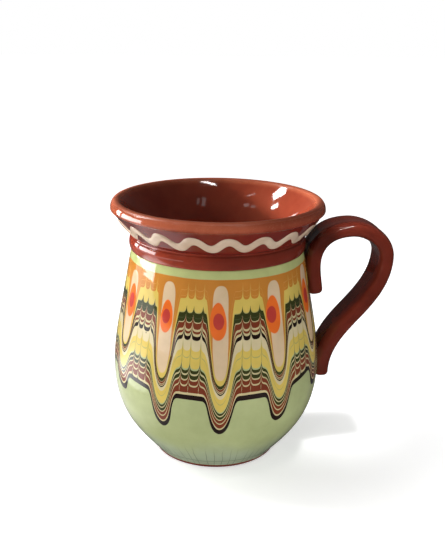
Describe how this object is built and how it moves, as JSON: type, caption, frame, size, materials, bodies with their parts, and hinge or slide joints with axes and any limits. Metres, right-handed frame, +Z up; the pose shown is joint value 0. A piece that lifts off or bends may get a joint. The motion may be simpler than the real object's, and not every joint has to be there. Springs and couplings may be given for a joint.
{
  "type": "clay mug",
  "caption": "Hand-thrown slipware mug: round belly, flared lip with a trailed wave, pale slip coat with a combed drip pattern and a pressed-on strap handle.",
  "frame": {"origin": "middle of the flat foot, where the mug rests on a table", "axes": "+Z up along the axis that the pot was turned on, +X towards the handle"},
  "size_m": [0.1133, 0.0842, 0.105],
  "materials": {
    "clay": "red clay under clear gloss glaze",
    "handle_clay": "red clay under clear gloss glaze",
    "slip": "pale green slip with a combed drip pattern, under clear gloss glaze",
    "cream_slip": "cream slip under clear gloss glaze"
  },
  "bodies": {
    "root": {"body": "clay", "handle": "handle_clay", "slip_coat": "slip", "wave_trail": "cream_slip"}
  },
  "joints": []
}
